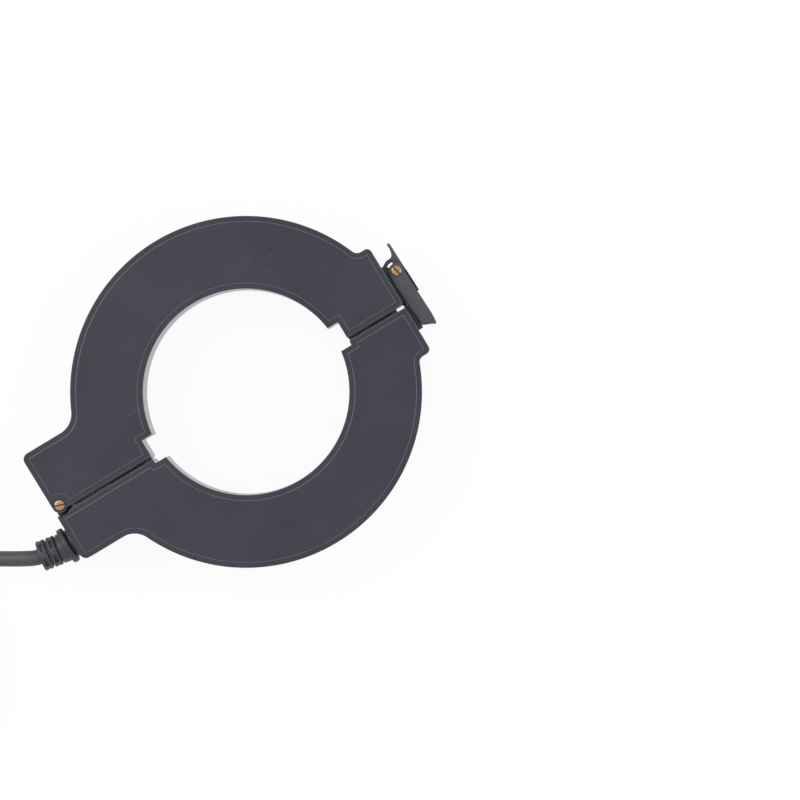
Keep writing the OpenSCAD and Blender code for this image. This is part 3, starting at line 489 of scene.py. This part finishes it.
# Middle knuckle on its arm: a bar with a round end, its edges eased, bored for the sleeve
def knuckle(plan):
    hx, hy = plan["hingeX"], plan["hingeY"]

    def loop(d):
        r, face = plan["knuckleR"] - d, -plan["hingeFace"] + d
        end = math.degrees(math.acos(max(-1.0, (face - hx) / r)))
        foot = plan["splitY"] - plan["hollowR"] - 1
        return np.vstack([(hx + r, foot), arc(hx, hy, r, 0, end, 40), (face, foot)])

    low, high = plan["knuckleLow"], plan["knuckleHigh"]
    rows = [(1.0, low)] + roundOver(0.3, low, 3, up=False) + roundOver(0.3, high, 3) + [(1.0, high)]
    bar = stack("knuckle", [loop(d) for d, z in rows], [z for d, z in rows])
    return carve(bar, cutters=[drum("hole", hx, hy, plan["sleeveR"], low - 1, high + 1, 40)])


# Cover: the loop carried up to a rounded rim, with a lip below, ribs at the seats and a raised panel on top
def coverHalf(plan, side, name):
    top = plan["caseTop"]
    rows = [(plan["seam"] + 0.8, top), (plan["seam"], top), (0.0, top + plan["seam"]), (0.0, plan["rim"] - 2)]
    rows += roundOver(plan["edgeRound"], plan["rim"], 5)
    rows += [(plan["edgeRound"] + 0.4, plan["rim"])]
    shell = stack(name, [outline(plan, side, d) for d, z in rows], [z for d, z in rows])
    wide = plan["hollowR"] + plan["wall"] + 0.1
    lipLoop = lambda d: halfLoop(plan, side, d, "hollow", wide + d - plan["lipIn"],
                                 plan["latchWall"] - plan["wall"])
    lip = stack("lip", [lipLoop(plan["lipIn"])] * 2, (top - 1.2, top + 1))
    cutters = [stack("hollow", [lipLoop(plan["lipIn"] + 1.2)] * 2, (top - 2, plan["rim"] - plan["coverDepth"]))]
    hx, hy = plan["hingeX"], plan["hingeY"]
    if side > 0:
        cutters += [drum("hole", hx, hy, plan["sleeveR"], top - 1, plan["rim"] + 1, 40),
                    drum("sink", hx, hy, plan["screwRecess"], plan["rim"] - plan["recessDepth"],
                         plan["rim"] + 1, 60)]
    carve(shell, joined=[lip], cutters=cutters)
    y0, y1 = sorted(plan["splitY"] + side * out for out in (plan["seatFace"], plan["halfGap"] + 0.6))
    ribs = [rib("rib", x0, x1, y0, y1, top, plan["ribTop"]) for x0, x1 in
            ((plan["notchR"] + 0.5, plan["seatOut"]), (-plan["seatHinge"], -plan["notchR"] - 0.5))]
    inset, rim, panelTop = plan["panelInset"], plan["rim"], plan["rim"] + plan["panelRise"]
    panelRows = [(inset, rim - 0.6), (inset, rim), (inset + 0.08, rim + 0.16), (inset + 0.3, panelTop - 0.06),
                 (inset + 0.5, panelTop), (inset + 0.9, panelTop)]
    if side > 0:
        loops = [halfLoop(plan, side, d, "hollow", plan["panelClear"] + d - inset) for d, z in panelRows]
    else:
        loops = [halfLoop(plan, side, d, "straight") for d, z in panelRows]
    return gather(shell, ribs + [stack("panel", loops, [z for d, z in panelRows], sharp=40)])


# Puts a piece in place of a part of the frame, on the same body
def dress(piece, node):
    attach(piece, frame["nodes"][node].parent.name.split(":")[1])
    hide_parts(node)
    return piece


upperCase = dress(caseHalf(ringPlan, 1, "upperShell"), "upper_case")
lowerCase = dress(caseHalf(ringPlan, -1, "lowerShell"), "lower_case")
upperCover = dress(coverHalf(ringPlan, 1, "upperFace"), "upper_cover")
lowerCover = dress(coverHalf(ringPlan, -1, "lowerFace"), "lower_cover")
print("cases and covers ready")


reliefPlan = dict(
    face=120.5, drop=20.8, height=19.0, tilt=10.0, flangeEnd=6.2,
    root=[(-4.0, 1.0), (-4.0, 7.3), (-2.6, 7.4), (-2.5, 5.8), (-0.2, 5.8), (0.02, 8.0), (0.2, 8.2), (1.9, 8.2),
          (2.2, 7.9), (2.3, 6.9), (2.9, 6.8), (3.0, 9.6), (3.3, 9.95), (3.6, 10.05), (5.5, 10.05), (5.95, 9.9),
          (6.25, 9.4), (6.3, 1.0)],
    collar=(-1.6, 3.3, 8.0), grooveR=6.9, ribs=((4.0, 8.7), (9.5, 14.4)), ribR=8.3, ease=0.9, mouth=5.0,
    windows=6, windowWide=1.7, windowLong=4.6, windowFloor=6.9)


# Rounded band of a profile between two distances: a quarter round up to the radius, and its mirror image down
def band(low, high, radius, ease):
    t = np.radians(np.linspace(0, 90, 5))
    rise = [(low + ease * (1 - math.cos(a)), radius - ease * (1 - math.sin(a))) for a in t]
    return rise + [(low + high - s, r) for s, r in rise[::-1]]


# Moulded boot: a root with base ring, groove and flange, then a tilted body of collar and pierced ribs
def reliefBoot(plan):
    root = lathe("reliefBoot", plan["root"], 72)
    low, high, collarR = plan["collar"]
    profile = [(-3.0, 1.0), (-3.0, plan["grooveR"]), (low - 0.2, plan["grooveR"])] + band(low, high, collarR, 0.35)
    for low, high in plan["ribs"]:
        profile += [(low - 0.7, plan["grooveR"]), (low - 0.1, plan["grooveR"])]
        profile += band(low, high, plan["ribR"], plan["ease"])
    profile += [(high + 0.02, plan["mouth"] + 1.4), (high - 0.1, plan["mouth"]), (high - 0.6, 1.0)]
    body = lathe("body", profile, 72)
    holes = []
    for low, high in plan["ribs"]:
        middle, half = (low + high) / 2, plan["windowWide"] / 2
        for k in range(plan["windows"]):
            hole = block("window", (plan["windowFloor"], -plan["windowLong"] / 2, middle - half),
                         (plan["ribR"] + 2, plan["windowLong"] / 2, middle + half))
            holes.append(stand(hole, (0, 0, 0), (0, 0, (k + 0.5) * 360 / plan["windows"])))
    carve(body, cutters=[gather(holes[0], holes[1:])])
    stand(body, (0, 0, plan["flangeEnd"]), (-plan["tilt"], 0, 0))
    cut = block("cut", (-15, -15, -20), (15, 15, plan["flangeEnd"] - 0.5))
    carve(body, cutters=[cut])
    return stand(gather(root, [body]), (-plan["face"], -plan["drop"], plan["height"]), (0, -90, 0))


boot = dress(reliefBoot(reliefPlan), "strain_relief")
dress(strap, "lead_tie")

screwPlan = dict(
    hinge=dict(place=(-116.25, -0.4), seat=37.2, turn=-19.0, node="hinge_screw"),
    latch=dict(place=(102.05, 14.1), seat=30.8, turn=-77.0, node="latch_screw"),
    profile=[(-10.0, 1.0), (-9.7, 1.25), (-0.02, 1.25), (0.0, 2.7), (0.12, 2.8), (0.95, 2.8), (1.14, 2.72),
             (1.27, 2.5), (1.35, 2.0), (1.4, 1.2), (1.4, 0.2)], slotWide=0.85, slotDeep=0.75, headHigh=1.4)


# Cheese head with a slot, on a plain shank
def slottedScrew(name, plan, spot):
    head = lathe(name, plan["profile"], 64)
    half = plan["slotWide"] / 2
    slot = block("slot", (-4, -half, plan["headHigh"] - plan["slotDeep"]), (4, half, plan["headHigh"] + 2))
    carve(head, cutters=[slot])
    return stand(head, (*spot["place"], spot["seat"]), (0, 0, spot["turn"]))


screws = {key: dress(slottedScrew(key + "Screw", screwPlan, screwPlan[key]), screwPlan[key]["node"])
          for key in ("hinge", "latch")}
print("boot and screws ready")


# Names of the finishes that the frame's parts take
slotOf = {part["node"]: part["material_slot"] for part in frame["record"]["subparts"]}


# Copy of a frame part, merged, its flat faces made whole, its edges eased by a small bevel
def softened(name, node, width, steps, added):
    mesh = frame["nodes"][node].data.copy()
    if "custom_normal" in mesh.attributes:
        mesh.attributes.remove(mesh.attributes["custom_normal"])
    bm = bmesh.new()
    bm.from_mesh(mesh)
    bmesh.ops.remove_doubles(bm, verts=bm.verts, dist=2e-6)
    bmesh.ops.dissolve_limit(bm, angle_limit=math.radians(0.5), verts=bm.verts, edges=bm.edges)
    for part in added:
        bm.from_mesh(part.data)
        bpy.data.meshes.remove(part.data)
    bm.to_mesh(mesh)
    bm.free()
    mesh.materials.clear()
    mesh.polygons.foreach_set("use_smooth", [True] * len(mesh.polygons))
    piece = bpy.data.objects.new(name, mesh)
    scene.collection.objects.link(piece)
    ease = piece.modifiers.new("ease", "BEVEL")
    ease.width, ease.segments, ease.limit_method = width * mm, steps, "ANGLE"
    ease.angle_limit, ease.use_clamp_overlap = math.radians(35), True
    weigh = piece.modifiers.new("weigh", "WEIGHTED_NORMAL")
    weigh.keep_sharp = True
    return dress(piece, node)


latchPlan = dict(
    pivot=(102.05, 14.1, 19.0), face=95.8, lean=1.5, padOut=4.85, padWide=14.4, tabWide=12.4, stripWide=19.6,
    backOut=96.7, tongueOut=98.65,
    foot=[(3.9, 3.0), (3.6, 12.5), (3.2, 11.4), (2.8, 9.7), (2.3, 8.6), (1.4, 7.78)], footR=7.62,
    bracketBack=(-4.0, 19.7), bracketTongue=(-4.0, -1.9), keeperBack=(-19.1, -4.4), keeperTongue=(-5.5, -4.4))


# Plate with eased edges standing square to x, in the latch's own frame: y up the tab, z across
def latchPlate(name, x0, x1, y0, y1, half):
    return rib(name, x0, x1, y0, y1, -half, half, 0.2)


# Thumb tab's thick foot, hollowed round the ears, and the crown of the pad
def leverExtras(plan):
    foot = np.vstack([plan["foot"], arc(0, 0, plan["footR"], 79, 71, 4), [(2.45, 6.9), (2.4, 3.0)]])
    gusset = stack("gusset", [foot, foot], (-plan["tabWide"] / 2, plan["tabWide"] / 2))
    crown = latchPlate("crown", 3.8, plan["padOut"], -14.8, -2.0, plan["padWide"] / 2)
    thumb = latchPlate("thumb", 3.9, plan["padOut"] - 0.1, -2.2, 14.2, plan["tabWide"] / 2)
    for plate in (crown, thumb, gusset):
        stand(plate, (0, 0, 0), (0, 0, plan["lean"]))
    return [stand(part, plan["pivot"]) for part in (gusset, crown, thumb)]


# Backs of the two screwed strips, run on towards each other at the split
def stripBacks(plan, back, tongue):
    low, high = (plan["pivot"][2] + way * plan["stripWide"] / 2 for way in (-1, 1))
    return [block("strip", (plan["face"] - 0.05, y0, low), (out, y1, high))
            for (y0, y1), out in ((back, plan["backOut"]), (tongue, plan["tongueOut"]))]


addedTo = dict(
    latch_lever=leverExtras(latchPlan),
    latch_bracket=stripBacks(latchPlan, latchPlan["bracketBack"], latchPlan["bracketTongue"]),
    keeper=stripBacks(latchPlan, latchPlan["keeperBack"], latchPlan["keeperTongue"]))
easedParts = dict(
    latch_lever=("leverBody", 0.22, 3), latch_bracket=("latchBracket", 0.15, 2), keeper=("keeperPlate", 0.15, 2),
    hinge_sleeve=("hingeSleeveTube", 0.1, 2), latch_sleeve=("latchSleeveTube", 0.1, 2),
    bracket_screws=("bracketFasteners", 0.06, 2), keeper_screws=("keeperFasteners", 0.06, 2),
    plug_grip=("plugBody", 0.25, 2), plug_shroud=("plugSleeve", 0.08, 2))
eased = {node: softened(name, node, width, steps, addedTo.get(node, ()))
         for node, (name, width, steps) in easedParts.items()}
print("eased parts ready")


# Painted highlight: pale colour on moulded edges where they would catch the light: the slope round the raised
# panel, the rims along the split and the latch
def paintedEdgeHighlight(f):
    x, y, z = f.split(f.place())
    steep = f.upright()
    slope = steep.ramp(0.15, 0.4) * (1.0 - steep.ramp(0.93, 0.99))
    alongSplit = 1.0 - abs(y - ringPlan["splitY"] * mm).ramp(1.5 * mm, 1.8 * mm)
    panel = z.above((ringPlan["rim"] + 0.01) * mm)
    return slope * panel.most(z.above((ringPlan["rim"] - 1) * mm) * alongSplit.most(x.above(95.2 * mm)))


# Moulded plastic: fine grain in the face, faint cloudiness, a few thin scratches, gloss that varies a little, and
# where the plan asks, a painted highlight on the edges
def mouldedFinish(name, plan):
    f = Finish(name, {})
    grain, cloud, fine = f.noise(plan["grain"], 3, 0.6), f.noise(26, 4, 0.6), f.noise(plan["grain"] * 3.1, 2, 0.5)
    long = f.node("Mapping", {}, {"Vector": f.place(), "Rotation": (0, 0, 0.7), "Scale": (45, 1700, 300)})
    scratch = f.noise(1.0, 2, 0.4, vector=long).ramp(0.70, 0.78) * f.noise(45, 2).ramp(0.5, 0.58)
    tone = f.mix(cloud.ramp(0.3, 0.7), plan["dark"], plan["light"])
    tone = f.mix((fine - 0.5) * 0.9 + 0.5, f.mix(0.22, tone, (0, 0, 0)), f.mix(0.1, tone, plan["fleck"]))
    tone = f.mix(scratch * 0.3, tone, plan["scuff"])
    # painted highlight: the moulded edges are made pale where they would catch the light
    if "edge" in plan:
        tone = f.mix(paintedEdgeHighlight(f) * plan["edge"], tone, plan["edgeTone"])
    rough = (cloud - 0.5) * 0.12 + (grain - 0.5) * 0.1 + plan["rough"] + scratch * 0.1
    if "wallPolish" in plan:
        rough = rough - (1.0 - f.upright().ramp(0.1, 0.4)) * plan["wallPolish"]
    return f.finished({"Base Color": tone, "Roughness": rough,
                       "Normal": f.bump(grain + fine * 0.5, plan["depth"])})


# Cable jacket: matt skin with a fine grain and faint clouds
def jacketFinish(name, plan):
    f = Finish(name, {})
    skin, cloud = f.noise(1400, 3, 0.6), f.noise(60, 3)
    tone = f.mix(cloud.ramp(0.3, 0.7), plan["dark"], plan["light"])
    tone = f.mix((skin - 0.5) * 0.8 + 0.5, f.mix(0.15, tone, (0, 0, 0)), f.mix(0.08, tone, (1, 1, 1)))
    return f.finished({"Base Color": tone, "Roughness": (skin - 0.5) * 0.15 + plan["rough"],
                       "Normal": f.bump(skin + cloud * 2, plan["depth"])})


# Turned metal: bright, with fine rings round its own axis and dull patches, and painted shade in a slot
def turnedFinish(name, plan, x=0.0, y=0.0, slotTop=None):
    f = Finish(name, {"Metallic": 1.0})
    across, up, z = f.split(f.place())
    away = ((across - x * mm) ** 2.0 + (up - y * mm) ** 2.0) ** 0.5
    rings = (away * 14000.0).sin() * 0.5 + 0.5
    patch, speck = f.noise(900, 3, 0.6), f.noise(5200, 2)
    tone = f.mix(patch.ramp(0.35, 0.7), plan["light"], plan["dark"])
    tone = f.mix(speck.ramp(0.5, 0.8) * 0.4, tone, plan["tarnish"])
    # painted shade: darker from just below the head's top downwards, which takes in the slot floor
    if slotTop is not None:
        tone = f.mix(1.0 - z.ramp((slotTop - 0.45) * mm, (slotTop - 0.12) * mm), tone, plan["grime"])
    return f.finished({"Base Color": tone, "Roughness": patch * 0.2 + rings * 0.05 + plan["rough"],
                       "Normal": f.bump(rings + speck, plan["depth"])})


# Windings: copper wires side by side, with painted highlights on the crests and painted shade in the valleys round
# the core
def windingFinish(name, plan):
    f = Finish(name, {"Metallic": 0.85})
    x, y, z = f.split(f.place())
    turn = f.node("Math", {"operation": "ARCTAN2"}, {0: y, 1: x})
    # painted light: each wire's crest is made lighter and the valley between wires darker
    crest = (turn * 420.0).sin() * 0.5 + 0.5
    return f.finished({"Base Color": f.mix(crest.ramp(0.1, 0.6), plan["dark"], plan["light"]),
                       "Roughness": plan["rough"] - crest * 0.15, "Normal": f.bump(crest, plan["depth"])})


# Wound strip: steel leaves seen on edge, in fine rings round the bore
def stripFinish(name, plan):
    f = Finish(name, {"Metallic": 0.9})
    x, y, z = f.split(f.place())
    away = (x * x + y * y) ** 0.5
    leaf = (away * 21000.0 + f.noise(80, 2) * 3.0).sin() * 0.5 + 0.5
    return f.finished({"Base Color": f.mix(leaf, plan["dark"], plan["light"]),
                       "Roughness": f.noise(700) * 0.2 + plan["rough"], "Normal": f.bump(leaf, plan["depth"])})


finishPlan = dict(
    # case plastic: edge and the pale tone after it give the painted highlight on the moulded edges
    case_plastic=(mouldedFinish, dict(dark=(0.012, 0.013, 0.024), light=(0.018, 0.019, 0.033),
        fleck=(0.10, 0.11, 0.15), scuff=(0.16, 0.16, 0.17), grain=1500, rough=0.42, depth=0.00004, edge=0.5,
        edgeTone=(0.17, 0.18, 0.21), wallPolish=0.2)),
    # latch plastic: base colour set lighter than the case's so the latch strips lying in shade come out lighter,
    # painted fill light
    latch_plastic=(mouldedFinish, dict(dark=(0.026, 0.028, 0.038), light=(0.036, 0.038, 0.05),
        fleck=(0.1, 0.1, 0.13), scuff=(0.12, 0.12, 0.13), grain=1700, rough=0.4, depth=0.00004)),
    lever_plastic=(mouldedFinish, dict(dark=(0.046, 0.048, 0.060), light=(0.062, 0.065, 0.080),
        fleck=(0.14, 0.14, 0.15), scuff=(0.18, 0.18, 0.19), grain=1300, rough=0.42, depth=0.00005)),
    relief_rubber=(mouldedFinish, dict(dark=(0.033, 0.0345, 0.042), light=(0.045, 0.0465, 0.056),
        fleck=(0.1, 0.1, 0.12), scuff=(0.1, 0.1, 0.1), grain=1600, rough=0.5, depth=0.00006)),
    plug_rubber=(mouldedFinish, dict(dark=(0.015, 0.015, 0.017), light=(0.022, 0.022, 0.025),
        fleck=(0.08, 0.08, 0.09), scuff=(0.1, 0.1, 0.1), grain=1600, rough=0.48, depth=0.00006)),
    plug_core=(mouldedFinish, dict(dark=(0.008, 0.008, 0.009), light=(0.013, 0.013, 0.014),
        fleck=(0.05, 0.05, 0.05), scuff=(0.05, 0.05, 0.05), grain=2000, rough=0.45, depth=0.00003)),
    tie_strap=(mouldedFinish, dict(dark=(0.012, 0.012, 0.013), light=(0.018, 0.018, 0.02),
        fleck=(0.06, 0.06, 0.06), scuff=(0.1, 0.1, 0.1), grain=1100, rough=0.6, depth=0.0001)),
    inner_plastic=(mouldedFinish, dict(dark=(0.022, 0.022, 0.024), light=(0.03, 0.03, 0.033),
        fleck=(0.08, 0.08, 0.08), scuff=(0.1, 0.1, 0.1), grain=1200, rough=0.5, depth=0.00005)),
    former_plastic=(mouldedFinish, dict(dark=(0.6, 0.57, 0.48), light=(0.68, 0.65, 0.55),
        fleck=(0.8, 0.78, 0.7), scuff=(0.75, 0.73, 0.66), grain=1200, rough=0.5, depth=0.00005)),
    board=(mouldedFinish, dict(dark=(0.015, 0.075, 0.03), light=(0.022, 0.1, 0.042), fleck=(0.1, 0.2, 0.1),
        scuff=(0.2, 0.3, 0.2), grain=2400, rough=0.35, depth=0.00002)),
    resistor=(mouldedFinish, dict(dark=(0.18, 0.25, 0.31), light=(0.24, 0.32, 0.38), fleck=(0.4, 0.45, 0.5),
        scuff=(0.3, 0.3, 0.3), grain=2200, rough=0.4, depth=0.00003)),
    wire_sleeve=(mouldedFinish, dict(dark=(0.36, 0.04, 0.03), light=(0.46, 0.06, 0.045), fleck=(0.6, 0.2, 0.2),
        scuff=(0.5, 0.2, 0.2), grain=1500, rough=0.4, depth=0.00003)),
    lead_jacket=(jacketFinish, dict(dark=(0.0115, 0.0112, 0.018), light=(0.0175, 0.017, 0.026), rough=0.5,
        depth=0.00005)),
    # brass: the darkest colour, used in the screw slots, is painted shade
    brass=(turnedFinish, dict(light=(0.50, 0.32, 0.15), dark=(0.36, 0.23, 0.11), tarnish=(0.2, 0.12, 0.06),
        grime=(0.10, 0.075, 0.05), rough=0.3, depth=0.00001)),
    screw_steel=(turnedFinish, dict(light=(0.55, 0.56, 0.58), dark=(0.4, 0.41, 0.43), tarnish=(0.2, 0.2, 0.21),
        rough=0.25, depth=0.00001)),
    plug_metal=(turnedFinish, dict(light=(0.68, 0.69, 0.70), dark=(0.52, 0.53, 0.55),
        tarnish=(0.35, 0.35, 0.36), rough=0.22, depth=0.00001)),
    pin_gold=(turnedFinish, dict(light=(0.80, 0.58, 0.25), dark=(0.66, 0.45, 0.18), tarnish=(0.4, 0.26, 0.1),
        rough=0.2, depth=0.00001)),
    core_steel=(stripFinish, dict(dark=(0.10, 0.10, 0.105), light=(0.33, 0.33, 0.34), rough=0.35,
        depth=0.0001)),
    winding_copper=(windingFinish, dict(dark=(0.16, 0.05, 0.02), light=(0.58, 0.24, 0.10), rough=0.45,
        depth=0.00025)))
finishes = {slot: maker(slot, plan) for slot, (maker, plan) in finishPlan.items()}


# Gives a piece one finish and no other
def wear(piece, finish):
    piece.data.materials.clear()
    piece.data.materials.append(finish)


for node, piece in (*frame["nodes"].items(), *eased.items()):
    wear(piece, finishes[slotOf[node]])
for piece in (upperCase, lowerCase, upperCover, lowerCover):
    wear(piece, finishes["case_plastic"])
wear(lead, finishes["lead_jacket"])
wear(boot, finishes["relief_rubber"])
wear(strap, finishes["tie_strap"])
for key, screw in screws.items():
    place, headTop = screwPlan[key]["place"], screwPlan[key]["seat"] + screwPlan["headHigh"]
    wear(screw, turnedFinish(key + "Brass", finishPlan["brass"][1], *place, headTop))
print("finishes ready")


# Soft round lamp that faces the centre of the bore
def lamp(name, place, size, power):
    light = bpy.data.lights.new(name, "AREA")
    light.shape, light.size, light.energy = "DISK", size, power
    made = bpy.data.objects.new(name, light)
    made.location = place
    made.rotation_euler = made.location.to_track_quat("Z", "Y").to_euler()
    scene.collection.objects.link(made)


lampPlan = dict(keyLamp=((-0.9, 1.3, 1.9), 1.2, 24), fillLamp=((1.6, -0.8, 1.5), 1.4, 12))
for name, (place, size, power) in lampPlan.items():
    lamp(name, place, size, power)
world = bpy.data.worlds.new("studio")
scene.world = world
world.use_nodes = True
sky = world.node_tree.nodes["Background"].inputs
sky["Color"].default_value, sky["Strength"].default_value = (1, 1, 1, 1), 0.8

floorPlan = dict(reach=4.0, below=0.0002, plainShare=0.93)
corners = np.array([(-1, -1, 0), (1, -1, 0), (1, 1, 0), (-1, 1, 0)]) * floorPlan["reach"]
floor = meshPiece("floor", corners - (0, 0, floorPlan["below"]), [(0, 1, 2, 3)], smooth=False)


# White paper: partly plain white to the eye and in reflections, so that only a light shadow stays;
# clear from below, so that the back of the object can be looked at
def paperFinish(plainShare):
    f = Finish("paper", {"Roughness": 0.9})
    f.feed(f.shader, {"Base Color": f.mix(f.noise(30), (0.86, 0.86, 0.86), (0.9, 0.9, 0.9))})
    camera, glossy, through = (f.node("LightPath", {}, {}, "Is " + kind + " Ray")
                               for kind in ("Camera", "Glossy", "Transmission"))
    glow = f.node("Emission", {}, {"Color": (1, 1, 1), "Strength": 1.0})
    blend = f.node("MixShader", {}, {0: camera.most(glossy).most(through) * plainShare,
                                     1: Value(f, f.shader.outputs[0]), 2: glow})
    below = f.node("NewGeometry", {}, {}, "Backfacing")
    under = f.node("MixShader", {}, {0: below, 1: blend, 2: f.node("BsdfTransparent", {}, {})})
    f.feed(f.tree.nodes["Material Output"], {"Surface": under})
    return f.material


floor.data.materials.append(paperFinish(floorPlan["plainShare"]))
print("studio ready")
